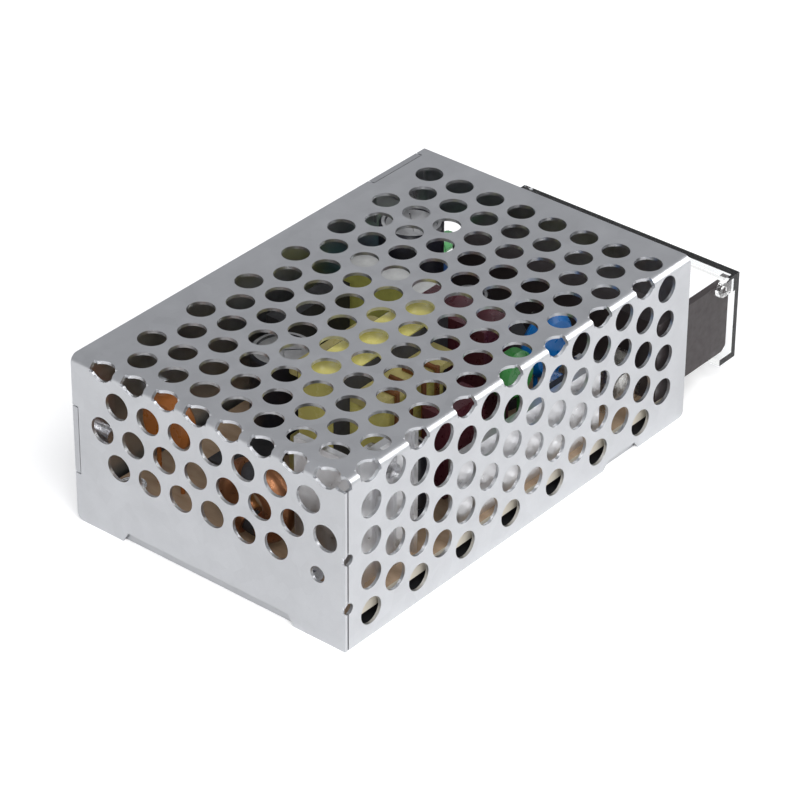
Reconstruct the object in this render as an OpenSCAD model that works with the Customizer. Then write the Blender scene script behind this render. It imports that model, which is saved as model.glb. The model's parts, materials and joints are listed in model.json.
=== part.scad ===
// Small mesh-case switching power supply: folded perforated cover on an
// L-shaped chassis, circuit board with its components, and a five-way
// screw terminal block under a clear flip-up cover.
// X runs from the closed rear end to the terminals, Y from the perforated
// long side to the plain side, Z up from the mounting face.

/* [Case] */
// Outside length of the case
case_l = 79; // [78:1:110]
// Outside width of the case
case_w = 51; // [51:1:70]
// Outside height of the case
case_h = 28; // [28:1:40]
// Thickness of the perforated cover sheet
sheet_t = 0.5; // [0.5:0.05:0.8]
// Thickness of the chassis sheet
chassis_t = 1; // [0.8:0.1:1.4]
// Inside radius of the sheet-metal bends
bend_in = 0.8; // [0.5:0.1:1]
// Play between the cover and the chassis edges
fold_gap = 0.2; // [0.1:0.05:0.3]

/* [Perforation] */
// Hole pitch across the rows
hole_pitch = 5.95; // [5.5:0.05:7]
// Spacing of the hole rows along the case
row_step = 5.2; // [5:0.1:6.2]
// Hole diameter
hole_d = 4.3; // [3:0.1:4.6]
// Plain border along the terminal end and the plain side
border = 5.2; // [4:0.1:8]
// Plain band above the bottom edge of the long side
side_band = 3.9; // [3:0.1:8]
// Plain band above the bottom edge of the rear end
rear_band = 10; // [8:0.5:14]
// Diameter of the small pilot hole in the rear end
pilot_d = 2.6; // [2:0.1:3.5]

/* [Interlocks] */
// Length of each screw tab of the cover
tab_l = 11.2; // [8:0.1:11.8]
// Reach of each screw tab behind the plain side
tab_reach = 7; // [6:0.1:9]
// Height of the rear tab's middle above the base
rear_tab_z = 13.9; // [12:0.1:16]
// Distance of the top tab's middle from the terminal end
top_tab_x = 7.7; // [7.7:0.1:20]
// Height of the step in the rear end's bottom edge
rear_step_h = 1.7; // [1.2:0.1:3]
// Height of the step in the long side's bottom edge
side_step_h = 1.3; // [1.1:0.1:3]
// Radius of the cover screws' threads
cover_screw_r = 1.25; // [1:0.05:1.5]
// Head radius of the countersunk cover screws
cover_head_r = 2.2; // [2:0.05:2.6]

/* [Mounting] */
// Mounting hole spacing along the case
mount_dx = 50; // [44:1:52]
// Mounting hole spacing across the case
mount_dy = 33; // [20:1:36]
// Thread radius of the mounting holes
mount_r = 1.5; // [1.2:0.05:1.5]
// Depth of the drawn collar around each mounting hole
mount_collar_h = 1; // [0.6:0.1:1.2]
// Wall of that collar
mount_collar_t = 0.6; // [0.4:0.1:0.8]

/* [Board] */
// Board thickness
board_t = 1.6; // [1.2:0.1:2]
// Height of the spacers under the board
spacer_h = 2.1; // [2:0.1:3]
// Radius of the spacers
spacer_r = 2.4; // [2.2:0.1:2.8]
// Gap between the board and the walls
board_gap = 0.9; // [0.7:0.1:1.2]
// Radius of the board screws
board_screw_r = 1.2; // [1:0.05:1.4]
// Head radius of the board screws
board_head_r = 2.1; // [1.8:0.1:2.2]
// Head height of the board screws
board_head_h = 1.4; // [1:0.1:1.8]
// Thickness of the insulating film
film_t = 0.3; // [0.2:0.05:0.4]

/* [Terminal block] */
// Pitch of the terminals
term_pitch = 7.62; // [7.62:0.02:8]
// Number of terminals
term_n = 5; // [5:1:5]
// Thickness of the barriers
barrier_t = 1.2; // [1:0.1:1.4]
// Reach of the barriers beyond the case
term_reach = 12.2; // [11.5:0.1:14]
// How far the barriers between the terminals end short of the two end plates
barrier_back = 3.4; // [3:0.1:4]
// Depth of the block's body inside the case
term_inset = 5.8; // [5:0.1:6]
// Thickness of the body's front beyond the case
term_face = 1.2; // [1:0.1:1.5]
// Height of the block's bottom above the base
term_z0 = 5.6; // [5.2:0.1:6]
// Height of the barriers' top above the base
term_z1 = 18.2; // [18:0.1:20]
// Thickness of the lip below the terminals
term_lip = 1.4; // [1:0.1:1.6]
// Height of the terminal screws above the base
term_screw_z = 12; // [11.5:0.1:12.5]
// Thread radius of the terminal screws
term_screw_r = 1.5; // [1.3:0.05:1.6]
// Head radius of the terminal screws
term_head_r = 2.8; // [2.5:0.05:2.9]
// Head height of the terminal screws
term_head_h = 2.1; // [1.8:0.1:2.4]
// Length of the terminal screws below the head
term_screw_l = 5.6; // [5:0.1:6]
// Thickness of the contact plates
contact_t = 1; // [0.8:0.1:1.2]
// Width of the contact plates
contact_w = 5.8; // [5:0.1:6]
// Thickness of the clamp washers
washer_t = 1; // [0.8:0.1:1.2]
// Width of the clamp washers
washer_w = 5.6; // [5:0.1:5.8]

/* [Terminal cover] */
// Wall thickness of the clear cover
flip_t = 1; // [0.8:0.1:1.5]
// Thickness of the clear cover's ears and flange
ear_t = 0.8; // [0.6:0.1:1]
// Radius of the hinge pins
pin_r = 0.5; // [0.4:0.05:0.6]
// Radial play of the hinge
pin_play = 0.06; // [0.03:0.01:0.1]
// Depth of the clear cover's top flange
flange_l = 2.9; // [2:0.1:3.2]
// Gap between the clear cover and the block
flip_gap = 0.2; // [0.15:0.05:0.4]

/* [Transformer] */
// Core width along the case
core_l = 25.4; // [24:0.1:26]
// Gap between the core's top and the cover
core_top_gap = 2.2; // [1.6:0.1:4]
// Core thickness across the case
core_d = 7; // [6:0.1:7.4]
// Width of the core's legs and backs
core_leg = 3.3; // [3:0.1:3.6]
// Thickness of the yellow tape
tape_t = 0.2; // [0.1:0.05:0.3]
// Width of the winding across the case
winding_w = 15; // [13:0.1:15.4]
// Corner radius of the winding
winding_r = 4; // [3:0.1:5]
// Thickness of the bobbin's flanges
flange_t = 1; // [0.8:0.1:1.2]
// Distance of the core from the board's rear edge
core_x = 19.9; // [19.8:0.1:20.2]
// Distance of the core from the board's perforated-side edge
core_y = 18.6; // [18.4:0.1:19]

/* [Heat sinks] */
// Thickness of the heat-sink sheet
sink_t = 1.2; // [1:0.1:1.5]
// Length of the primary heat sink along the case
sink_l = 13.6; // [13:0.1:14]
// Length of the primary heat sink across the case
sink_w = 11; // [10:0.1:11.4]
// Gap between the primary heat sink's top and the cover
sink_top_gap = 1.8; // [1.2:0.1:2.8]
// Length of the rectifier's heat sink
out_sink_l = 34; // [20:0.5:36]
// Height of the rectifier's heat sink
out_sink_h = 12.4; // [12:0.1:14]

/* [Capacitors] */
// Radius of the mains capacitor
main_cap_r = 5; // [4:0.1:5.1]
// Height of the mains capacitor
main_cap_h = 15.6; // [12:0.1:18]
// Radius of the large output capacitor
out_cap_r = 5; // [4:0.1:5.2]
// Gap between the large output capacitor's top and the cover
out_cap_top_gap = 2.6; // [1.3:0.1:6.8]
// Radius of the small electrolytic capacitors
small_cap_r = 3.15; // [2.5:0.05:3.3]
// Height of the small electrolytic capacitors
small_cap_h = 11.5; // [9:0.1:14]
// Gap between the yellow suppression capacitor and the board's plain-side edge
x_cap_edge = 3.2; // [2:0.1:5]
// Thickness of the yellow suppression capacitor
x_cap_w = 5.2; // [4.5:0.1:5.4]
// Height of the yellow suppression capacitor
x_cap_h = 16.8; // [12:0.1:18]
// Length of the tall maroon film capacitor across the case
film_l = 14; // [12:0.1:14.2]
// Height of the tall maroon film capacitor
film_h = 19.2; // [15:0.1:20]
// Radius of the blue safety capacitor
safety_cap_r = 5; // [4:0.1:5.4]
// Radius of the brown disc capacitor
disc_cap_r = 4.5; // [3.5:0.1:4.8]
// Thickness of the disc parts
disc_t = 3.2; // [2.5:0.1:3.6]
// Radius of the thermistor disc
thermistor_r = 3.8; // [3:0.1:4.2]
// Radius of the disc parts' leads
lead_r = 0.35; // [0.3:0.05:0.45]

/* [Chokes and fuse] */
// Radius of the drum choke
drum_r = 4.6; // [4:0.1:4.8]
// Height of the drum choke
drum_h = 11.5; // [9:0.1:13]
// Fuse body radius
fuse_r = 2.5; // [2.3:0.05:2.6]
// Fuse length
fuse_l = 20; // [18:0.1:20.5]
// Length of each fuse cap
fuse_cap_l = 5; // [4.5:0.1:6]

/* [Hidden] */
$fn = 48;

// Shared derived sizes
eps = 0.01;
bend_out = bend_in + sheet_t;
wall_in = case_w - chassis_t;
top_in = case_h - sheet_t;
row_n = floor((case_l - border) / row_step) + 1;
hole_r = hole_d / 2;
rear_shift = 0.35;
hole_y0 = 0.6 * hole_pitch;
tab_h = tab_reach - sheet_t;

// Board
board_z0 = chassis_t + spacer_h;
board_top = board_z0 + board_t;
board_x0 = sheet_t + board_gap;
board_x1 = case_l - 1;
board_y0 = sheet_t + board_gap;
board_y1 = wall_in - sheet_t - board_gap;
room_h = top_in - board_top;
part_gap = 0.6;

// Terminal block and its clear cover
block_w = term_n * term_pitch + barrier_t;
block_y0 = ear_t + 2 * flip_gap;
block_y1 = block_y0 + block_w;
block_x0 = case_l - term_inset;
block_face = case_l + term_face;
block_x1 = case_l + term_reach;
flip_x0 = block_x1 + flip_gap;
flip_x1 = flip_x0 + flip_t;
pin_x = flip_x1 - flange_l - 0.9;
pin_z = term_z1 - 0.5;
total_l = flip_x1;

// Case frame to part frame: origin under the middle of the whole part
module placed() translate([-total_l / 2, -case_w / 2, 0]) children();

// A flat outline drawn as (Y, Z), drawn out along X
module along_x(l) rotate([90, 0, 90]) linear_extrude(l) children();

// A flat outline drawn as (X, Z), drawn out along Y
module along_y(l) translate([0, l, 0]) rotate([90, 0, 0]) linear_extrude(l) children();

// Round rods along the axes
module rod_x(r, l) rotate([0, 90, 0]) cylinder(r = r, h = l);
module rod_y(r, l) rotate([-90, 0, 0]) cylinder(r = r, h = l);

// Outline of one sheet-metal bend, its centre at the origin
module bend_outline(outer) {
  difference() {
    intersection() {
      circle(outer);
      translate([-outer, 0]) square(outer);
    }
    circle(bend_in);
  }
}

// ---- Mesh cover: one folded sheet ----

module cover_top_outline() {
  translate([bend_out, top_in]) square([case_w - bend_out, sheet_t]);
  translate([bend_out, case_h - bend_out]) bend_outline(bend_out);
  square([sheet_t, case_h - bend_out]);
}

module cover_rear_outline() {
  square([sheet_t, case_h - bend_out]);
  translate([bend_out, case_h - bend_out]) bend_outline(bend_out);
}

// Rows of the top face; the first row runs over the rear bend
module top_holes() {
  for (i = [0 : row_n - 1]) {
    x = i * row_step + (i > 0 ? rear_shift : 0);
    y0 = i % 2 == 0 ? hole_y0 : hole_y0 + hole_pitch / 2;
    n = floor((case_w - border - y0) / hole_pitch);
    for (k = [0 : n])
      if (i == 0) {
        translate([0, y0 + k * hole_pitch, case_h - bend_out]) cylinder(r = hole_r, h = 2 * bend_out);
        translate([-1, y0 + k * hole_pitch, case_h]) rod_x(hole_r, 1 + bend_out);
      }
      else translate([x, y0 + k * hole_pitch, case_h - bend_out]) cylinder(r = hole_r, h = 2 * bend_out);
    if (i % 2 == 1) {
      translate([x, 0, case_h - bend_out]) cylinder(r = hole_r, h = 2 * bend_out);
      translate([x, -1, case_h]) rod_y(hole_r, 1 + bend_out);
    }
  }
}

// Columns of the long side
module side_holes() {
  for (i = [1 : row_n - 1]) {
    x = i * row_step + rear_shift;
    z0 = case_h - (i % 2 == 1 ? hole_pitch : hole_pitch / 2);
    n = floor((z0 - side_band) / hole_pitch);
    for (k = [0 : n])
      translate([x, -1, z0 - k * hole_pitch]) rod_y(hole_r, 1 + bend_out);
  }
}

// Rows of the rear end, and its small pilot hole
module rear_holes() {
  n = floor((case_h - row_step - rear_band) / row_step);
  for (j = [0 : n]) {
    z = case_h - (j + 1) * row_step;
    y0 = j % 2 == 1 ? hole_y0 : hole_y0 + hole_pitch / 2 + (j > 1 ? hole_pitch : 0);
    m = floor((case_w - border - y0) / hole_pitch);
    for (k = [0 : m]) translate([-1, y0 + k * hole_pitch, z]) rod_x(hole_r, 1 + bend_out);
  }
  translate([-1, 5, case_h - 17]) rod_x(pilot_d / 2, 1 + bend_out);
}

// Plain strap folded inwards behind the plain side, with its tapped hole
module rear_tab() {
  z0 = rear_tab_z - tab_l / 2;
  translate([0, wall_in - sheet_t, z0]) cube([sheet_t + tab_h, sheet_t, tab_l]);
}

module top_tab() {
  x0 = case_l - top_tab_x - tab_l / 2;
  translate([x0, wall_in - sheet_t, top_in - tab_h]) cube([tab_l, sheet_t, tab_h + sheet_t / 2]);
}

module cover_screw_spots() {
  translate([sheet_t + tab_h - 3, case_w, rear_tab_z]) rotate([90, 0, 0]) children();
  translate([case_l - top_tab_x, case_w, top_in - tab_h + 3]) rotate([90, 0, 0]) children();
}

module mesh_cover() {
  seam_x = sheet_t + 0.25;
  relief = bend_out + 0.2;
  tab_x0 = case_l - top_tab_x - tab_l / 2 - fold_gap;
  tab_z0 = rear_tab_z - tab_l / 2 - fold_gap;
  color([0.8, 0.81, 0.83]) difference() {
    union() {
      translate([bend_out, 0, 0]) along_x(case_l - bend_out) cover_top_outline();
      translate([seam_x, 0, 0]) cube([bend_out - seam_x + eps, sheet_t, case_h - bend_out]);
      along_y(case_w) cover_rear_outline();
      rear_tab();
      top_tab();
    }
    // corner relief where the two bends meet
    translate([-1, -1, case_h - relief]) cube([relief + 1, relief + 1, relief + 1]);
    // edges cut back where the chassis shows
    translate([tab_x0, wall_in - fold_gap / 2, top_in - 1]) cube([tab_l + 2 * fold_gap, 5, 5]);
    translate([-1, wall_in - fold_gap / 2, tab_z0]) cube([5, 5, tab_l + 2 * fold_gap]);
    // step in the rear end's bottom edge
    translate([-1, 0, 0]) along_x(sheet_t + 1.2)
      polygon([[9.5, -1], [9.5, 0], [10.5, rear_step_h], [case_w - 10, rear_step_h],
               [case_w - 9, 0], [case_w - 9, -1]]);
    // step in the long side's bottom edge
    translate([0, -1, 0]) along_y(sheet_t + 1.2)
      polygon([[case_l - 20, -1], [case_l - 20, 0], [case_l - 18.8, side_step_h],
               [case_l - 12.3, side_step_h], [case_l - 11.3, 0], [case_l - 11.3, -1]]);
    // rounded bottom corners
    translate([case_l - 1, -1, 0]) along_y(sheet_t + 1.2) difference() {
      translate([0, -1]) square(2);
      translate([0, 1]) circle(1);
    }
    translate([-1, case_w - 1.2, 0]) along_x(sheet_t + 1.1) difference() {
      translate([0, -1]) square([2.2, 2.2]);
      translate([0, 1.2]) circle(1.2);
    }
    // bending notches on the long side's rear edge
    for (z = [7, 15.2]) translate([seam_x, -1, z]) rod_y(0.9, sheet_t + 1.1);
    top_holes();
    side_holes();
    rear_holes();
    cover_screw_spots() cylinder(r = cover_screw_r, h = 6);
  }
}

module cover_screws() {
  color([0.75, 0.75, 0.77]) cover_screw_spots() difference() {
    union() {
      cylinder(r1 = cover_head_r, r2 = cover_screw_r, h = 0.9);
      cylinder(r = cover_screw_r, h = 4);
    }
    for (a = [0, 90]) rotate(a) translate([-1.2, -0.25, -eps]) cube([2.4, 0.5, 0.6]);
  }
}

// ---- Chassis: one folded sheet ----

module chassis_outline() {
  r = bend_in + chassis_t;
  translate([sheet_t + fold_gap, 0]) square([case_w - sheet_t - fold_gap - r, chassis_t]);
  translate([case_w - r, r]) mirror([1, 0]) mirror([0, 1]) difference() {
    intersection() {
      circle(r);
      translate([-r, 0]) square(r);
    }
    circle(bend_in);
  }
  translate([wall_in, r]) square([chassis_t, top_in - r]);
}

// Flange of the plain side turned across the terminal end, above the block
flange_z0 = term_z1 + 0.8;
flange_top_gap = 0.35;
flange_h = top_in - flange_top_gap - flange_z0;
flange_r = bend_in + chassis_t;

module end_flange_outline() {
  r = flange_r;
  translate([case_l - chassis_t, sheet_t + fold_gap]) square([chassis_t, case_w - sheet_t - fold_gap - r]);
  translate([case_l - r, case_w - r]) difference() {
    intersection() {
      circle(r);
      square(r);
    }
    circle(bend_in);
  }
}

// Four tapped holes in the base
module mount_spots() {
  for (x = [-1, 1], y = [-1, 1])
    translate([case_l / 2 + x * mount_dx / 2, case_w / 2 + y * mount_dy / 2, 0]) children();
}

// Two tapped holes in the plain side
module side_mount_spots() {
  for (x = [-1, 1])
    translate([case_l / 2 + x * 22.5, case_w, case_h / 2]) rotate([90, 0, 0]) children();
}

module base_chassis() {
  x0 = sheet_t + fold_gap;
  tab_x0 = case_l - top_tab_x - tab_l / 2;
  color([0.78, 0.79, 0.8]) difference() {
    union() {
      translate([x0, 0, 0]) along_x(case_l - x0) chassis_outline();
      translate([0, 0, flange_z0]) linear_extrude(flange_h) end_flange_outline();
      translate([tab_x0, wall_in, top_in - 1]) cube([tab_l, chassis_t, sheet_t + 1]);
      translate([0, wall_in, rear_tab_z - tab_l / 2]) cube([x0 + 1, chassis_t, tab_l]);
      mount_spots() cylinder(r = mount_r + mount_collar_t, h = chassis_t + mount_collar_h);
      side_mount_spots() cylinder(r = mount_r + mount_collar_t, h = chassis_t + mount_collar_h);
    }
    // outside of the flange's bend
    translate([case_l - flange_r, case_w - flange_r, flange_z0]) linear_extrude(flange_h) difference() {
      square(flange_r + 1);
      circle(flange_r);
    }
    mount_spots() translate([0, 0, -1]) cylinder(r = mount_r, h = 8);
    side_mount_spots() translate([0, 0, -1]) cylinder(r = mount_r, h = 8);
    spacer_spots() translate([0, 0, -2 * chassis_t]) cylinder(r = board_screw_r, h = 4 * chassis_t);
    cover_screw_spots() cylinder(r1 = cover_head_r, r2 = cover_screw_r, h = 0.9);
    cover_screw_spots() translate([0, 0, -1]) cylinder(r = cover_head_r, h = 1);
    cover_screw_spots() cylinder(r = cover_screw_r, h = 2 * chassis_t);
  }
}

// ---- Board, film, spacers ----

module spacer_spots() {
  translate([board_x0 + 3, board_y0 + 9, chassis_t]) children();
  translate([board_x0 + 3.6, board_y1 - 4, chassis_t]) children();
  translate([block_x0 - 2.9, term_y(4.5), chassis_t]) children();
}

module circuit_board() {
  color([0.8, 0.7, 0.55]) difference() {
    translate([board_x0, board_y0, board_z0])
      cube([board_x1 - board_x0, board_y1 - board_y0, board_t]);
    spacer_spots() cylinder(r = board_screw_r, h = 10);
  }
}

module board_spacers() {
  color([0.8, 0.75, 0.5]) spacer_spots() difference() {
    cylinder(r = spacer_r, h = spacer_h);
    translate([0, 0, -1]) cylinder(r = board_screw_r, h = spacer_h + 2);
  }
}

module board_screws() {
  color([0.75, 0.75, 0.77]) spacer_spots() difference() {
    union() {
      translate([0, 0, -chassis_t]) cylinder(r = board_screw_r, h = chassis_t + spacer_h + board_t + eps);
      translate([0, 0, spacer_h + board_t]) cylinder(r = board_head_r, h = board_head_h);
    }
    for (a = [0, 90]) rotate(a) translate([-1.4, -0.3, spacer_h + board_t + board_head_h - 0.7])
      cube([2.8, 0.6, 2]);
  }
}

// Film lying on the base
module insulating_film() {
  color([0.12, 0.12, 0.13]) difference() {
    translate([board_x0 + 0.4, sheet_t + fold_gap, chassis_t])
      cube([board_x1 - board_x0, wall_in - sheet_t - fold_gap - 2, film_t]);
    mount_spots() cylinder(r = mount_r + mount_collar_t + 0.3, h = 9);
    spacer_spots() translate([0, 0, -1]) cylinder(r = spacer_r + 0.3, h = 9);
  }
}

// ---- Terminal block ----

function term_y(i) = block_y0 + barrier_t / 2 + term_pitch * (i - 0.5);
contact_z0 = term_z0 + term_lip;
contact_h = 2 * (term_screw_z - contact_z0);
plate_x = block_face + contact_t;
tongue_w = 3;
tongue_t = 1;
tongue_x = block_x0 - 1.2;

// Tongue of a contact, through the block and down to the board
module contact_tongue(i) {
  translate([tongue_x, term_y(i) - tongue_w / 2, contact_z0])
    cube([plate_x - tongue_x - eps, tongue_w, tongue_t]);
  translate([tongue_x, term_y(i) - tongue_w / 2, board_top])
    cube([tongue_t, tongue_w, contact_z0 - board_top + eps]);
}

module terminal_block() {
  color([0.2, 0.19, 0.19]) difference() {
    union() {
      // body with its feet on the board
      translate([block_x0, block_y0, term_z0]) cube([block_face - block_x0, block_w, term_z1 - term_z0]);
      translate([block_x0, block_y0, board_top])
        cube([board_x1 - block_x0, block_w, term_z0 - board_top + eps]);
      // lip under the terminals
      translate([block_face - eps, block_y0, 0]) along_y(block_w)
        polygon([[0, term_z0], [block_x1 - block_face - 1, term_z0],
                 [block_x1 - block_face, term_z0 + 0.8], [block_x1 - block_face, contact_z0],
                 [0, contact_z0]]);
      // end plates and the barriers between the terminals
      for (k = [0 : term_n])
        translate([block_face - eps, block_y0 + k * term_pitch, contact_z0 - eps])
          cube([block_x1 - block_face - (k % term_n == 0 ? 0 : barrier_back), barrier_t,
                term_z1 - contact_z0 + eps]);
      // hinge pins on both ends
      translate([pin_x, block_y0 - flip_gap - ear_t + 0.1, pin_z]) rod_y(pin_r, flip_gap + ear_t);
      translate([pin_x, block_y1 - 0.1, pin_z]) rod_y(pin_r, flip_gap + ear_t);
    }
    for (i = [1 : term_n]) {
      contact_tongue(i);
      translate([block_face - term_screw_l + contact_t, term_y(i), term_screw_z])
        rod_x(term_screw_r + 0.3, term_screw_l + 2);
    }
  }
}

module terminal_contact(i) {
  color([0.8, 0.8, 0.78]) difference() {
    union() {
      translate([block_face, term_y(i) - contact_w / 2, contact_z0]) cube([contact_t, contact_w, contact_h]);
      contact_tongue(i);
    }
    translate([block_face - 1, term_y(i), term_screw_z]) rod_x(term_screw_r + 0.05, contact_t + 2);
  }
}

module clamp_washer(i) {
  color([0.8, 0.8, 0.78]) translate([plate_x, term_y(i), term_screw_z]) difference() {
    translate([0, -washer_w / 2, -washer_w / 2]) cube([washer_t, washer_w, washer_w]);
    translate([-1, 0, 0]) rod_x(term_screw_r + 0.05, washer_t + 2);
  }
}

module terminal_screw(i) {
  color([0.82, 0.82, 0.83]) translate([plate_x + washer_t, term_y(i), term_screw_z]) difference() {
    union() {
      translate([-term_screw_l, 0, 0]) rod_x(term_screw_r, term_screw_l + eps);
      rod_x(term_head_r, term_head_h);
    }
    for (a = [0, 90]) rotate([a, 0, 0])
      translate([term_head_h - 1, -1.9, -0.4]) cube([2, 3.8, 0.8]);
  }
}

// Clear cover: front wall, top flange, hook under the lip, an ear at each end
module terminal_cover() {
  y0 = block_y0 - flip_gap - ear_t;
  y1 = block_y1 + flip_gap + ear_t;
  z1 = term_z1 + flip_gap + ear_t;
  hook_z = term_z0 - 0.3 - 1.1;
  color([0.93, 0.95, 0.96, 0.35]) difference() {
    union() {
      translate([flip_x0, y0, hook_z]) cube([flip_t, y1 - y0, z1 - hook_z]);
      translate([flip_x1 - flange_l, y0, z1 - ear_t]) cube([flange_l - 0.1, y1 - y0, ear_t]);
      translate([flip_x1 - 4, y0, hook_z]) cube([4 - 0.1, y1 - y0, 1.1]);
      for (y = [y0, y1 - ear_t]) translate([0, y, 0]) {
        translate([pin_x, 0, pin_z]) rod_y(1.3, ear_t);
        translate([pin_x, 0, pin_z - 1.3]) cube([flip_x1 - pin_x - 0.1, ear_t, 2.6]);
      }
    }
    translate([pin_x, y0 - 1, pin_z]) rod_y(pin_r + pin_play, ear_t + 1 + flip_gap / 2);
    translate([pin_x, y1 - ear_t - flip_gap / 2, pin_z]) rod_y(pin_r + pin_play, ear_t + 1 + flip_gap / 2);
  }
}

// ---- Transformer ----

core_x0 = board_x0 + core_x;
core_y0 = board_y0 + core_y;
core_z0 = board_top + 0.8;
core_cy = core_y0 + core_d / 2;
core_h = top_in - core_top_gap - core_z0;
win_h = core_h - 2 * core_leg;

module transformer_core() {
  color([0.13, 0.13, 0.14]) translate([core_x0, core_y0, core_z0]) difference() {
    cube([core_l, core_d, core_h]);
    for (x = [core_leg, core_l / 2 + core_leg])
      translate([x, -1, core_leg]) cube([core_l / 2 - 2 * core_leg, core_d + 2, win_h]);
  }
}

module transformer_tape() {
  color([0.87, 0.8, 0.25]) translate([core_x0, core_y0 + 0.3, core_z0]) difference() {
    translate([-tape_t, 0, 0]) cube([core_l + 2 * tape_t, core_d - 0.6, core_h + tape_t]);
    translate([0, -1, -1]) cube([core_l, core_d + 2, core_h + 1]);
  }
}

// Winding room: between the outer legs, around the middle one
module around_leg(z0, h, w, l, r) {
  translate([core_x0 + core_l / 2 - l / 2 + r, core_cy - w / 2 + r, z0]) difference() {
    union() {
      translate([-r, 0, 0]) cube([l, w - 2 * r, h]);
      translate([0, -r, 0]) cube([l - 2 * r, w, h]);
      for (x = [0, l - 2 * r], y = [0, w - 2 * r]) translate([x, y, 0]) cylinder(r = r, h = h);
    }
    translate([l / 2 - r - core_leg, w / 2 - r - core_d / 2, -1]) cube([2 * core_leg, core_d, h + 2]);
  }
}

module transformer_bobbin() {
  l = core_l - 2 * core_leg;
  z0 = core_z0 + core_leg;
  color([0.1, 0.1, 0.1]) {
    around_leg(z0, flange_t, winding_w + 2, l, 1);
    around_leg(z0 + win_h - flange_t, flange_t, winding_w + 2, l, 1);
    // pin rails standing on the board
    for (y = [core_y0 - 4.6, core_y0 + core_d + 0.6])
      translate([core_x0 + core_leg, y, board_top]) cube([l, 4, z0 - board_top + eps]);
  }
}

module transformer_winding() {
  color([0.87, 0.8, 0.25]) around_leg(core_z0 + core_leg + flange_t, win_h - 2 * flange_t, winding_w,
    core_l - 2 * core_leg, winding_r);
}

// Copper ends of the winding over the upper flange
module transformer_leads() {
  z = core_z0 + core_h - core_leg;
  y = core_y0 - (winding_w + 2 - core_d) / 2;
  color([0.75, 0.4, 0.2]) for (k = [0 : 3]) translate([core_x0 + core_leg + 4 + 3 * k, y, z]) {
    translate([0, 0, 0.4]) rod_y(0.4, 3.4);
    translate([0, -0.4, 0.8 - z + board_top]) cylinder(r = 0.4, h = z - board_top);
    translate([0, -0.4, 0.4]) sphere(0.4);
    translate([0, -0.4, 0.4]) rod_y(0.4, 0.8);
  }
}

// ---- Heat sinks and power parts ----

sink_x0 = board_x0 + 5.8;
sink_y0 = board_y0 + 3;
sink_h = room_h - sink_top_gap;

module primary_heatsink() {
  color([0.82, 0.83, 0.84]) translate([sink_x0, sink_y0, board_top]) difference() {
    union() {
      cube([sink_l, sink_t, sink_h]);
      cube([sink_t, sink_w, sink_h]);
      // ribs on the outer face
      for (k = [0 : 3]) translate([0.6 + k * (sink_l - 2) / 3, -0.6, 0]) cube([0.8, 0.7, sink_h]);
    }
    translate([sink_l / 2 + 1, -2, sink_screw_z]) rod_y(1.3, sink_t + 4);
  }
}

// Flat three-legged package, its screw tab against a plate on the -Y side;
// the screw is at the origin, the package's body d below it
module power_package(d, body_h, leg_h) {
  difference() {
    union() {
      translate([-5, 0, -d - eps]) cube([10, 1.3, d + 2.8]);
      translate([-5, 0, -d - body_h]) cube([10, 4.4, body_h]);
      for (x = [-2.54, 0, 2.54])
        translate([x - 0.4, 2, -d - body_h - leg_h]) cube([0.8, 0.5, leg_h + eps]);
    }
    translate([0, -1, 0]) rod_y(1.7, 3);
  }
}

// Screw through a package's tab into the plate behind it
module package_screw() {
  translate([0, -sink_t, 0]) rod_y(1.3, sink_t + 1.3 + eps);
  translate([0, 1.3, 0]) rod_y(2.6, 1.8);
}

sink_screw_x = sink_x0 + sink_l / 2 + 1;
sink_screw_z = sink_h - 5;

module switching_transistor() {
  color([0.12, 0.12, 0.13]) translate([sink_screw_x, sink_y0 + sink_t, board_top + sink_screw_z])
    power_package(3.2, 9.2, sink_screw_z - 12.4);
}

module transistor_screw() {
  color([0.75, 0.75, 0.77]) translate([sink_screw_x, sink_y0 + sink_t, board_top + sink_screw_z])
    package_screw();
}

out_x0 = board_x0 + 25.6;
out_y0 = board_y0 + 1.2;
out_screw_x = out_x0 + out_sink_l - 6.4;
out_screw_z = out_sink_h - 3;

module output_heatsink() {
  color([0.76, 0.75, 0.76]) translate([out_x0, out_y0, board_top]) difference() {
    union() {
      cube([out_sink_l, sink_t, out_sink_h]);
      translate([out_sink_l - sink_t, 0, 0]) cube([sink_t, 4, out_sink_h]);
    }
    translate([out_screw_x - out_x0, -2, out_screw_z]) rod_y(1.3, sink_t + 4);
  }
}

module output_rectifier() {
  color([0.12, 0.12, 0.13]) translate([out_screw_x, out_y0 + sink_t, board_top + out_screw_z])
    power_package(2.9, 5.4, out_screw_z - 8.3);
}

module rectifier_screw() {
  color([0.75, 0.75, 0.77]) translate([out_screw_x, out_y0 + sink_t, board_top + out_screw_z])
    package_screw();
}

module bridge_rectifier() {
  color([0.1, 0.1, 0.11]) translate([board_x0 + 36, board_y1 - 5, board_top]) {
    translate([0, 0, 3]) cube([15, 3.6, 11]);
    for (k = [0 : 3]) translate([1.5 + 4 * k - 0.4, 1.5, 0]) cube([0.8, 0.6, 3 + eps]);
  }
}

// ---- Capacitors ----

// Upright electrolytic: rolled-in foot and rim, scored aluminium top
module electrolytic(r, h) {
  difference() {
    rotate_extrude() polygon([[0, 0], [r - 0.3, 0], [r, 0.4], [r, 1.6], [r - 0.35, 2], [r, 2.4],
      [r, h - 0.4], [r - 0.4, h], [r - 0.9, h], [r - 1.1, h - 0.3], [0, h - 0.3]]);
    for (a = [45, 135]) rotate(a) translate([-r * 0.55, -0.1, h - 0.5]) cube([r * 1.1, 0.2, 1]);
  }
}

main_cap_x = core_x0 + 8.7;
main_cap_y = core_cy + winding_w / 2 + flange_t + 0.4 + main_cap_r;

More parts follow.
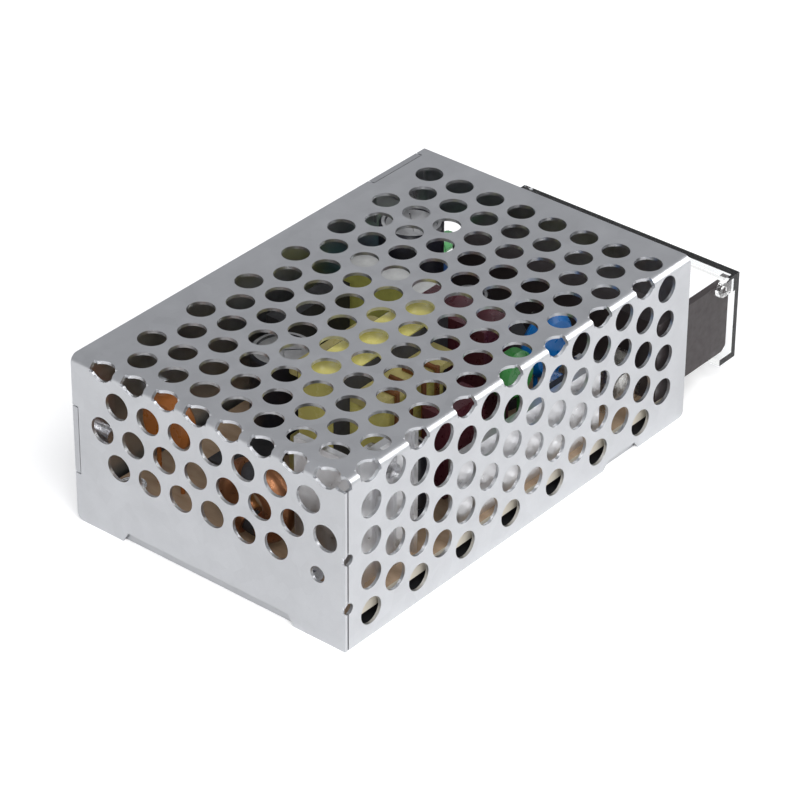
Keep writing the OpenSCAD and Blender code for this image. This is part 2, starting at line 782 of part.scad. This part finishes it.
module mains_capacitor() {
  color([0.08, 0.08, 0.1]) translate([main_cap_x, main_cap_y, board_top])
    electrolytic(main_cap_r, main_cap_h);
}

// Between the board screw by the terminal block and the suppression capacitor
out_cap_x = block_x0 - 8.6;
out_cap_y = board_y1 - out_cap_r - 1.9;

module output_capacitor() {
  color([0.08, 0.08, 0.1]) translate([out_cap_x, out_cap_y, board_top])
    electrolytic(out_cap_r, room_h - out_cap_top_gap);
}

// Midway between the fuse and the output capacitor
module filter_capacitor() {
  y = (fuse_y0 + fuse_l + out_cap_y - out_cap_r) / 2;
  color([0.08, 0.08, 0.1]) translate([out_cap_x + 0.2, y, board_top])
    electrolytic(small_cap_r, small_cap_h);
}

module supply_capacitor() {
  color([0.08, 0.08, 0.1]) translate([core_x0 + 5.5, core_y0 - winding_w / 2 - 1.5, board_top])
    electrolytic(small_cap_r, small_cap_h);
}

// Box-shaped film capacitor with a small stand-off
module film_box(l, w, h) {
  translate([0, 0, 0.5]) cube([l, w, h - 0.5]);
  for (x = [0.4, l - 1.4], y = [0.4, w - 1.4]) translate([x, y, 0]) cube([1, 1, 0.6]);
}

// Tall film capacitor between the core and the drum choke
film_x0 = core_x0 + core_l + tape_t + 0.7;
film_y0 = board_y0 + 12.6;

module input_film_capacitor() {
  color([0.27, 0.14, 0.18]) translate([film_x0, film_y0, board_top])
    film_box(choke_x - drum_r - part_gap - film_x0, film_l, film_h);
}

module suppression_capacitor() {
  x0 = out_cap_x - out_cap_r - 2 * part_gap - x_cap_w;
  y0 = film_y0 + film_l + 0.4;
  color([0.85, 0.82, 0.3]) translate([x0, y0, board_top])
    film_box(x_cap_w, board_y1 - x_cap_edge - y0, x_cap_h);
}

module output_film_capacitor() {
  color([0.25, 0.16, 0.16]) translate([core_x0 + 11, out_y0 + 6, board_top])
    film_box(9, 4.4, 14.4);
}

// Round disc on two leads, its axis along Y
module disc_part(r, t, z) {
  translate([0, -t / 2, z]) rotate([-90, 0, 0]) rotate_extrude() polygon(
    [[0, 0], [r - 0.8, 0], [r, 0.8], [r, t - 0.8], [r - 0.8, t], [0, t]]);
  for (x = [-0.5, 0.5]) translate([x * r, 0, 0]) cylinder(r = lead_r, h = z - r / 3);
}

module safety_capacitor() {
  color([0.02, 0.4, 0.72]) translate([board_x1 - 21.2, board_y0 + 8.1, board_top])
    disc_part(safety_cap_r, disc_t, 14.8);
}

module thermistor() {
  color([0.2, 0.48, 0.24]) translate([board_x0 + 45.2, board_y0 + 6.6, board_top])
    disc_part(thermistor_r, disc_t, 15.2);
}

module disc_capacitor() {
  color([0.66, 0.36, 0.14]) translate([board_x0 + 8.2, board_y1 - 7.4, board_top])
    rotate(90) disc_part(disc_cap_r, disc_t, 11.4);
}

// ---- Chokes ----

choke_x = board_x1 - 19;
choke_y = board_y0 + 19.4;

module drum_choke_core() {
  color([0.16, 0.16, 0.17]) translate([choke_x, choke_y, board_top])
    rotate_extrude() polygon([[0, 0], [drum_r, 0], [drum_r, 1.6], [drum_r * 0.45, 1.6],
      [drum_r * 0.45, drum_h - 1.6], [drum_r, drum_h - 1.6], [drum_r, drum_h], [0, drum_h]]);
}

module drum_choke_coil() {
  color([0.72, 0.38, 0.2]) translate([choke_x, choke_y, board_top + 1.6]) difference() {
    cylinder(r = drum_r - 0.5, h = drum_h - 3.2);
    translate([0, 0, -1]) cylinder(r = drum_r * 0.45, h = drum_h);
  }
}

ring_r = 4.2;
ring_core_r = 1.7;
ring_coil_t = 0.7;
module on_ring() translate([board_x0 + 6.6, board_y0 + 21.6, board_top + ring_r + ring_core_r + ring_coil_t])
  rotate([0, 90, 0]) children();

module line_choke_core() {
  color([0.2, 0.3, 0.22]) on_ring() rotate_extrude() translate([ring_r, 0]) circle(ring_core_r);
}

module line_choke_coils() {
  color([0.74, 0.4, 0.2]) on_ring() for (a = [20, 200]) rotate(a)
    rotate_extrude(angle = 140) translate([ring_r, 0]) difference() {
      circle(ring_core_r + ring_coil_t);
      circle(ring_core_r);
    }
}

// ---- Fuse ----

fuse_x = board_x1 - 9.2;
fuse_y0 = board_y0 + 2.6;
fuse_z = board_top + 1 + fuse_r;

module fuse_tube() {
  color([0.85, 0.9, 0.92, 0.5]) translate([fuse_x, fuse_y0 + 0.4, fuse_z]) difference() {
    rod_y(fuse_r - 0.3, fuse_l - 0.8);
    translate([0, -1, 0]) rod_y(fuse_r - 0.9, fuse_l + 2);
  }
}

module fuse_caps() {
  color([0.8, 0.8, 0.8]) for (y = [0, fuse_l - fuse_cap_l]) translate([fuse_x, fuse_y0 + y, fuse_z])
    difference() {
      rod_y(fuse_r, fuse_cap_l);
      translate([0, y == 0 ? 0.4 : -1, 0]) rod_y(fuse_r - 0.3, fuse_cap_l + 0.6);
    }
}

module fuse_clips() {
  color([0.8, 0.8, 0.8]) for (y = [0.5, fuse_l - 4.5]) translate([fuse_x, fuse_y0 + y, fuse_z])
    difference() {
      union() {
        rod_y(fuse_r + 0.5, 4);
        translate([-fuse_r - 0.5, 0, -1 - fuse_r]) cube([2 * fuse_r + 1, 4, 1 + fuse_r]);
        for (x = [-fuse_r - 0.5, fuse_r]) translate([x, 0, 0]) cube([0.5, 4, fuse_r + 2]);
      }
      translate([0, -1, 0]) rod_y(fuse_r, 6);
      translate([-fuse_r + 0.4, -1, 0]) cube([2 * fuse_r - 0.8, 6, 9]);
    }
}

// ---- Small parts ----

module dual_row_chip(l, pins) {
  translate([0, 0, 0.6]) cube([l, 6.4, 3.2]);
  for (k = [0 : pins - 1], y = [-0.5, 6.3])
    translate([l / 2 + (k - (pins - 1) / 2) * 2.54 - 0.3, y, 0]) cube([0.6, 0.6, 2.4]);
}

module optocoupler() {
  color([0.9, 0.9, 0.88]) translate([board_x0 + 45, board_y0 + 30.6, board_top]) dual_row_chip(4.6, 2);
}

module control_chip() {
  color([0.1, 0.1, 0.11]) translate([board_x0 + 13, board_y0 + 30.6, board_top]) dual_row_chip(9.4, 4);
}

module load_resistor() {
  color([0.3, 0.6, 0.62]) translate([board_x1 - 17.6, board_y1 - 1.4, board_top]) {
    translate([0, 0, 4]) cylinder(r = 1.25, h = 8);
    cylinder(r = lead_r, h = 13.4);
    translate([-3, 0, 0]) cylinder(r = lead_r, h = 13.4);
    translate([-3 - lead_r, -lead_r, 13.3]) cube([3 + 2 * lead_r, 2 * lead_r, 2 * lead_r]);
  }
}

trim_y0 = block_y1 + ear_t + 0.6;
trim_w = board_y1 - trim_y0 - 0.2;
trim_x1 = board_x1 - 0.4;
trim_z = board_top + 3.6;
trim_t = 4.4;
rotor_r = 0.29 * trim_w;
rotor_play = 0.06;
rotor_depth = 1.6;
slot_w = 0.6;

module voltage_trimmer() {
  color([0.2, 0.35, 0.65]) difference() {
    translate([trim_x1 - trim_t, trim_y0, board_top]) cube([trim_t, trim_w, 6.8]);
    translate([trim_x1 - rotor_depth, trim_y0 + trim_w / 2, trim_z]) rod_x(rotor_r + rotor_play, 3);
  }
}

module trimmer_rotor() {
  slot_l = 1.5 * rotor_r;
  color([0.9, 0.9, 0.88]) translate([trim_x1 - rotor_depth, trim_y0 + trim_w / 2, trim_z]) difference() {
    rod_x(rotor_r, 2);
    for (a = [0, 90]) rotate([a, 0, 0])
      translate([1.3, -slot_l / 2, -slot_w / 2]) cube([2, slot_l, slot_w]);
  }
}

module indicator_lamp() {
  y = trim_y0 + trim_w / 2;
  z = board_top + 9.6;
  back = trim_x1 - 5.2;
  color([0.3, 0.75, 0.35]) {
    translate([trim_x1 - 3.6, y, z]) rod_x(1.9, 1);
    translate([trim_x1 - 3.6, y, z]) rod_x(1.5, 3.8);
    translate([trim_x1 + 0.2, y, z]) sphere(1.5);
    for (s = [-1, 1]) {
      translate([back, y + s * 1.27, z]) rod_x(0.3, 1.7);
      translate([back, y + s * 1.27, board_top]) cylinder(r = 0.3, h = z - board_top + 0.3);
    }
  }
}

placed() mesh_cover();
placed() base_chassis();
placed() cover_screws();
placed() insulating_film();
placed() circuit_board();
placed() board_spacers();
placed() board_screws();
placed() terminal_block();
placed() terminal_cover();
placed() terminal_contact(1);  // terminal_contact_1
placed() clamp_washer(1);  // clamp_washer_1
placed() terminal_screw(1);  // terminal_screw_1
placed() terminal_contact(2);  // terminal_contact_2
placed() clamp_washer(2);  // clamp_washer_2
placed() terminal_screw(2);  // terminal_screw_2
placed() terminal_contact(3);  // terminal_contact_3
placed() clamp_washer(3);  // clamp_washer_3
placed() terminal_screw(3);  // terminal_screw_3
placed() terminal_contact(4);  // terminal_contact_4
placed() clamp_washer(4);  // clamp_washer_4
placed() terminal_screw(4);  // terminal_screw_4
placed() terminal_contact(5);  // terminal_contact_5
placed() clamp_washer(5);  // clamp_washer_5
placed() terminal_screw(5);  // terminal_screw_5
placed() transformer_core();
placed() transformer_tape();
placed() transformer_bobbin();
placed() transformer_winding();
placed() transformer_leads();
placed() primary_heatsink();
placed() switching_transistor();
placed() transistor_screw();
placed() output_heatsink();
placed() output_rectifier();
placed() rectifier_screw();
placed() mains_capacitor();
placed() output_capacitor();
placed() filter_capacitor();
placed() supply_capacitor();
placed() suppression_capacitor();
placed() input_film_capacitor();
placed() output_film_capacitor();
placed() safety_capacitor();
placed() disc_capacitor();
placed() thermistor();
placed() drum_choke_core();
placed() drum_choke_coil();
placed() line_choke_core();
placed() line_choke_coils();
placed() bridge_rectifier();
placed() fuse_tube();
placed() fuse_caps();
placed() fuse_clips();
placed() optocoupler();
placed() control_chip();
placed() load_resistor();
placed() voltage_trimmer();
placed() trimmer_rotor();
placed() indicator_lamp();
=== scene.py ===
import math
import random
import bpy
import bmesh
from mathutils import Matrix, Vector
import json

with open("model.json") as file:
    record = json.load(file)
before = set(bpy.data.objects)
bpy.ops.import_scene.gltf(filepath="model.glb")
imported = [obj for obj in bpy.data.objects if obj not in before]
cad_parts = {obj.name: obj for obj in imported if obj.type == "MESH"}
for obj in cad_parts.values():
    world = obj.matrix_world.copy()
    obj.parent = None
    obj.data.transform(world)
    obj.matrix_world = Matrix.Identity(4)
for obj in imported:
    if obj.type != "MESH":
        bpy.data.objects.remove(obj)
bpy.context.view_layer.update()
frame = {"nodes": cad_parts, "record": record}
nodes = frame["nodes"]
MM = 0.001
OX, OY = -46.2, -25.5          # case corner in the part's frame, in millimetres


def P(x, y, z):
    """A point given in the case's own millimetres."""
    return Vector(((x + OX) * MM, (y + OY) * MM, z * MM))


# ------------------------------------------------------------------ camera
cam_data = bpy.data.cameras.new("camera")
cam = bpy.data.objects.new("camera", cam_data)
bpy.context.scene.collection.objects.link(cam)
eye = Vector((-0.369642, -0.30118, 0.314628))
fwd = Vector((0.649602, 0.534648, -0.540527)).normalized()
right = Vector((0.638459, -0.769632, 0.006034))
right = (right - fwd * right.dot(fwd)).normalized()
up = right.cross(fwd)
m = Matrix((right, up, -fwd)).transposed().to_4x4()
m.translation = eye
cam.matrix_world = m
cam_data.sensor_width = 36
cam_data.lens = 171.72
cam_data.clip_start = 0.01
cam_data.clip_end = 20
bpy.context.scene.camera = cam
bpy.context.scene.view_settings.view_transform = 'Standard'


# --------------------------------------------------------------- materials
class Nodes:
    """Small helper to write a node material."""

    def __init__(self, name):
        self.mat = bpy.data.materials.new(name)
        self.mat.use_nodes = True
        self.t = self.mat.node_tree
        self.bsdf = self.t.nodes["Principled BSDF"]
        self.coord = self.t.nodes.new("ShaderNodeTexCoord")

    def new(self, kind, **values):
        n = self.t.nodes.new(kind)
        for k, v in values.items():
            if hasattr(n, k) and k not in n.inputs:
                setattr(n, k, v)
            else:
                n.inputs[k].default_value = v
        return n

    def link(self, a, b):
        self.t.links.new(a, b)

    def noise(self, scale, detail=4.0, rough=0.55, stretch=(1, 1, 1)):
        mp = self.new("ShaderNodeMapping")
        mp.inputs["Scale"].default_value = stretch
        self.link(self.coord.outputs["Object"], mp.inputs["Vector"])
        n = self.new("ShaderNodeTexNoise")
        n.inputs["Scale"].default_value = scale
        n.inputs["Detail"].default_value = detail
        n.inputs["Roughness"].default_value = rough
        self.link(mp.outputs["Vector"], n.inputs["Vector"])
        return n.outputs["Fac"]

    def ramp(self, fac, stops):
        r = self.new("ShaderNodeValToRGB")
        e = r.color_ramp.elements
        while len(e) < len(stops):
            e.new(0.5)
        for el, (pos, col) in zip(e, stops):
            el.position = pos
            el.color = (*col, 1) if len(col) == 3 else col
        self.link(fac, r.inputs["Fac"])
        return r.outputs["Color"]

    def range(self, fac, lo, hi, a=0.3, b=0.7):
        r = self.new("ShaderNodeMapRange")
        r.inputs["From Min"].default_value = a
        r.inputs["From Max"].default_value = b
        r.inputs["To Min"].default_value = lo
        r.inputs["To Max"].default_value = hi
        self.link(fac, r.inputs["Value"])
        return r.outputs["Result"]

    def bump(self, fac, dist, strength=0.5, normal=None):
        b = self.new("ShaderNodeBump")
        b.inputs["Strength"].default_value = strength
        b.inputs["Distance"].default_value = dist
        self.link(fac, b.inputs["Height"])
        if normal is not None:
            self.link(normal, b.inputs["Normal"])
        self.link(b.outputs["Normal"], self.bsdf.inputs["Normal"])
        return b.outputs["Normal"]

    def set(self, **values):
        for k, v in values.items():
            self.bsdf.inputs[k.replace("_", " ")].default_value = v


def mix_color(n, fac, a, b):
    return n.ramp(fac, [(0.3, a), (0.7, b)])


def coated(name, col, var=0.12, rough=0.45, scale=900, bump=0.00002, metal=0.0, spec=0.5, grime=None, **kw):
    """Plastic, lacquer or plain metal: fine grain, broad tone drift, worn gloss."""
    n = Nodes(name)
    dark = tuple(c * (1 - var) for c in col)
    light = tuple(min(1, c * (1 + var)) for c in col)
    broad = n.noise(scale * 0.12, 3)
    n.link(mix_color(n, broad, dark, light), n.bsdf.inputs["Base Color"])
    fine = n.noise(scale, 5)
    n.link(n.range(fine, max(0.02, rough - 0.09), min(1, rough + 0.12)), n.bsdf.inputs["Roughness"])
    n.bump(fine, bump, 0.4)
    n.bsdf.inputs["Metallic"].default_value = metal
    n.bsdf.inputs["Specular IOR Level"].default_value = spec
    for k, v in kw.items():
        n.bsdf.inputs[k].default_value = v
    return n.mat


def zinc(name, base, rough, metal=1.0):
    """Zinc-coated sheet: faint spangle, rolled grain along X, small scuffs."""
    n = Nodes(name)
    vor = n.new("ShaderNodeTexVoronoi")
    vor.inputs["Scale"].default_value = 420
    n.link(n.coord.outputs["Object"], vor.inputs["Vector"])
    bw = n.new("ShaderNodeRGBToBW")
    n.link(vor.outputs["Color"], bw.inputs["Color"])
    soft = n.noise(160, 4, 0.6)
    grain = n.noise(700, 3, 0.6, (0.06, 1, 1))
    mixer = n.new("ShaderNodeMath", operation='ADD')
    n.link(n.range(bw.outputs["Val"], 0, 0.35, 0, 1), mixer.inputs[0])
    n.link(n.range(soft, 0, 0.65, 0.25, 0.75), mixer.inputs[1])
    lo = tuple(c * 0.93 for c in base)
    hi = tuple(min(1, c * 1.05) for c in base)
    n.link(n.ramp(mixer.outputs[0], [(0.1, lo), (0.9, hi)]), n.bsdf.inputs["Base Color"])
    mix2 = n.new("ShaderNodeMath", operation='ADD')
    n.link(n.range(grain, -0.05, 0.05), mix2.inputs[0])
    n.link(n.range(mixer.outputs[0], rough - 0.05, rough + 0.06, 0, 1), mix2.inputs[1])
    n.link(mix2.outputs[0], n.bsdf.inputs["Roughness"])
    n.bsdf.inputs["Metallic"].default_value = metal
    n.bump(grain, 0.00001, 0.25)
    return n.mat


def two_faced(name, side, top, top_metal, top_rough):
    """One colour on the sides and another on what faces up, both toned by one grain noise: a real silver can top on
    the capacitors, a painted highlight on the yellow box's top.
    """
    n = Nodes(name)
    geo = n.new("ShaderNodeNewGeometry")
    xyz = n.new("ShaderNodeSeparateXYZ")
    n.link(geo.outputs["True Normal"], xyz.inputs["Vector"])
    # up-facing mask: a real silver can top on the capacitors, a painted highlight on the yellow box
    up = n.range(xyz.outputs["Z"], 0, 1, 0.85, 0.95)
    grain = n.noise(600, 5)
    pair = []
    for col in (side, top):
        pair.append(n.ramp(grain, [(0.3, tuple(c * 0.88 for c in col)), (0.7, tuple(min(1, c * 1.08) for c in col))]))
    mix = n.new("ShaderNodeMix", data_type='RGBA')
    n.link(up, mix.inputs["Factor"])
    n.link(pair[0], mix.inputs[6])
    n.link(pair[1], mix.inputs[7])
    n.link(mix.outputs[2], n.bsdf.inputs["Base Color"])
    n.link(n.range(up, 0, top_metal, 0, 1), n.bsdf.inputs["Metallic"])
    n.link(n.range(up, 0.3, top_rough, 0, 1), n.bsdf.inputs["Roughness"])
    n.bump(grain, 0.00003, 0.3)
    return n.mat


M = {}
M["zinc_sheet_cover"] = zinc("zinc_cover", (0.72, 0.73, 0.75), 0.36)
M["zinc_sheet_chassis"] = zinc("zinc_chassis", (0.66, 0.67, 0.69), 0.38)
M["plated_screw"] = coated("plated_screw", (0.75, 0.75, 0.77), 0.05, 0.25, 1500, metal=1.0)
M["black_film"] = coated("black_film", (0.02, 0.02, 0.022), 0.3, 0.35, 600)
M["brass_spacer"] = coated("brass_spacer", (0.7, 0.55, 0.28), 0.06, 0.3, 1500, metal=1.0)
M["terminal_plastic"] = coated("terminal_plastic", (0.045, 0.036, 0.037), 0.08, 0.42, 900, 0.00003)
M["ferrite"] = coated("ferrite", (0.045, 0.045, 0.05), 0.25, 0.6, 1400, 0.00005)
M["yellow_tape"] = coated("yellow_tape", (0.68, 0.62, 0.19), 0.12, 0.24, 500, 0.00004)
# black_plastic bobbin: painted shade, a darker copy of the yellow tape colour standing for the transformer's shaded
# sides
M["black_plastic"] = coated("bobbin_painted_shade", (0.55, 0.48, 0.19), 0.25, 0.3, 500)
M["copper_wire"] = coated("copper_wire", (0.34, 0.15, 0.07), 0.35, 0.34, 1200, metal=0.8)
M["aluminium_sheet"] = coated("aluminium_sheet", (0.78, 0.78, 0.79), 0.06, 0.35, 900, metal=1.0)
M["epoxy_black"] = coated("epoxy_black", (0.03, 0.03, 0.033), 0.2, 0.5, 1300)
M["capacitor_sleeve"] = two_faced("capacitor_sleeve", (0.015, 0.015, 0.02), (0.62, 0.62, 0.63), 0.7, 0.35)
M["capacitor_sleeve_white"] = two_faced("capacitor_sleeve_2", (0.02, 0.02, 0.03), (0.72, 0.72, 0.73), 0.45, 0.4)
# yellow_box: the near-white up-facing colour is a painted highlight on the yellow capacitor's top, not its own colour
M["yellow_box"] = two_faced("yellow_box", (0.62, 0.62, 0.16), (0.80, 0.81, 0.80), 0.0, 0.4)
M["maroon_box"] = coated("maroon_box", (0.10, 0.025, 0.035), 0.15, 0.3, 700)
M["blue_coating"] = coated("blue_coating", (0.0, 0.17, 0.55), 0.12, 0.3, 700, 0.00006)
M["orange_coating"] = coated("orange_coating", (0.42, 0.14, 0.03), 0.12, 0.32, 700, 0.00006)
M["green_coating"] = coated("green_coating", (0.05, 0.26, 0.06), 0.12, 0.32, 700, 0.00006)
M["nickel_metal"] = coated("nickel_metal", (0.72, 0.71, 0.68), 0.06, 0.25, 1200, metal=1.0)
M["white_plastic"] = coated("white_plastic", (0.78, 0.77, 0.74), 0.05, 0.45, 900)
M["teal_coating"] = coated("teal_coating", (0.08, 0.36, 0.38), 0.1, 0.32, 800)
M["blue_plastic"] = coated("blue_plastic", (0.02, 0.09, 0.45), 0.1, 0.35, 800)
M["green_lens"] = coated("green_lens", (0.25, 0.7, 0.3), 0.08, 0.12, 500, **{"Transmission Weight": 0.6})


def clear(name, col, rough, ior, weight=1.0):
    n = Nodes(name)
    fine = n.noise(300, 3)
    n.link(n.range(fine, rough * 0.6, rough * 1.5), n.bsdf.inputs["Roughness"])
    n.bsdf.inputs["Base Color"].default_value = (*col, 1)
    n.bsdf.inputs["Transmission Weight"].default_value = weight
    n.bsdf.inputs["IOR"].default_value = ior
    n.bump(n.noise(120, 2), 0.00005, 0.15)
    return n.mat


M["clear_plastic"] = clear("clear_plastic", (0.97, 0.98, 0.98), 0.06, 1.49)
M["fuse_glass"] = clear("fuse_glass", (0.97, 0.98, 0.98), 0.03, 1.5)


def board(name):
    n = Nodes(name)
    fibre = n.noise(500, 5, 0.6, (1, 0.3, 1))
    face = n.ramp(fibre, [(0.25, (0.36, 0.24, 0.15)), (0.75, (0.56, 0.41, 0.28))])
    xyz = n.new("ShaderNodeSeparateXYZ")
    n.link(n.new("ShaderNodeNewGeometry").outputs["True Normal"], xyz.inputs["Vector"])
    side = n.new("ShaderNodeMath", operation='ABSOLUTE')
    n.link(xyz.outputs["Z"], side.inputs[0])
    edge = n.new("ShaderNodeMix", data_type='RGBA')
    n.link(n.range(side.outputs[0], 1, 0, 0.1, 0.3), edge.inputs["Factor"])
    n.link(face, edge.inputs[6])
    edge.inputs[7].default_value = (0.78, 0.72, 0.60, 1)
    n.link(edge.outputs[2], n.bsdf.inputs["Base Color"])
    n.link(n.range(n.noise(900, 3), 0.4, 0.62), n.bsdf.inputs["Roughness"])
    n.bump(fibre, 0.00003, 0.3)
    return n.mat


M["board_laminate"] = board("board_laminate")

slot_of = {s["node"]: s["material_slot"] for s in frame["record"]["subparts"]}


def dress(obj, mat):
    if len(obj.material_slots) == 0:
        obj.data.materials.append(mat)
    for s in obj.material_slots:
        s.material = mat


for name, obj in nodes.items():
    dress(obj, M[slot_of[name]])

# ------------------------------------------------------------------- stage
floor_mesh = bpy.data.meshes.new("floor")
S = 4.0
floor_mesh.from_pydata([(-S, -S, 0), (S, -S, 0), (S, S, 0), (-S, S, 0)], [], [(0, 1, 2, 3)])
floor = bpy.data.objects.new("floor", floor_mesh)
bpy.context.scene.collection.objects.link(floor)
fl = Nodes("floor")
fl.set(Base_Color=(0.9, 0.9, 0.9, 1), Roughness=1.0)
fl.bsdf.inputs["Specular IOR Level"].default_value = 0.0
lp = fl.new("ShaderNodeLightPath")
em = fl.new("ShaderNodeEmission")
em.inputs["Color"].default_value = (1, 1, 1, 1)
flag = fl.new("ShaderNodeMath", operation='MAXIMUM')
fl.link(lp.outputs["Is Camera Ray"], flag.inputs[0])
fl.link(lp.outputs["Is Transmission Ray"], flag.inputs[1])
glow = fl.new("ShaderNodeMath", operation='MULTIPLY')
glow.inputs[1].default_value = 0.35
fl.link(flag.outputs[0], glow.inputs[0])
fl.link(glow.outputs[0], em.inputs["Strength"])
add = fl.new("ShaderNodeAddShader")
fl.link(fl.bsdf.outputs[0], add.inputs[0])
fl.link(em.outputs[0], add.inputs[1])
fl.link(add.outputs[0], fl.t.nodes["Material Output"].inputs["Surface"])
floor_mesh.materials.append(fl.mat)

world = bpy.data.worlds.new("world")
bpy.context.scene.world = world
world.use_nodes = True
wt = world.node_tree
bg = wt.nodes["Background"]
bg.inputs["Color"].default_value = (0.385, 0.39, 0.405, 1)
bg.inputs["Strength"].default_value = 1.0
bg2 = wt.nodes.new("ShaderNodeBackground")
bg2.inputs["Color"].default_value = (1, 1, 1, 1)
wlp = wt.nodes.new("ShaderNodeLightPath")
wmix = wt.nodes.new("ShaderNodeMixShader")
white = wt.nodes.new("ShaderNodeMath")
white.operation = 'MAXIMUM'
wt.links.new(wlp.outputs["Is Camera Ray"], white.inputs[0])
wt.links.new(wlp.outputs["Is Transmission Ray"], white.inputs[1])
wt.links.new(white.outputs[0], wmix.inputs["Fac"])
wt.links.new(bg.outputs[0], wmix.inputs[1])
wt.links.new(bg2.outputs[0], wmix.inputs[2])
wt.links.new(wmix.outputs[0], wt.nodes["World Output"].inputs["Surface"])


def area(name, loc, target, size, power):
    d = bpy.data.lights.new(name, 'AREA')
    d.shape = 'RECTANGLE'
    d.size, d.size_y = size
    d.energy = power
    o = bpy.data.objects.new(name, d)
    bpy.context.scene.collection.objects.link(o)
    o.location = loc
    o.rotation_euler = (Vector(target) - Vector(loc)).to_track_quat('-Z', 'Y').to_euler()
    return o


area("key", (-0.5, -0.6, 0.9), (0, 0, 0), (0.7, 0.7), 9)
area("fill", (0.8, -0.5, 0.5), (0, 0, 0), (0.6, 0.5), 4)

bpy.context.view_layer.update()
import json
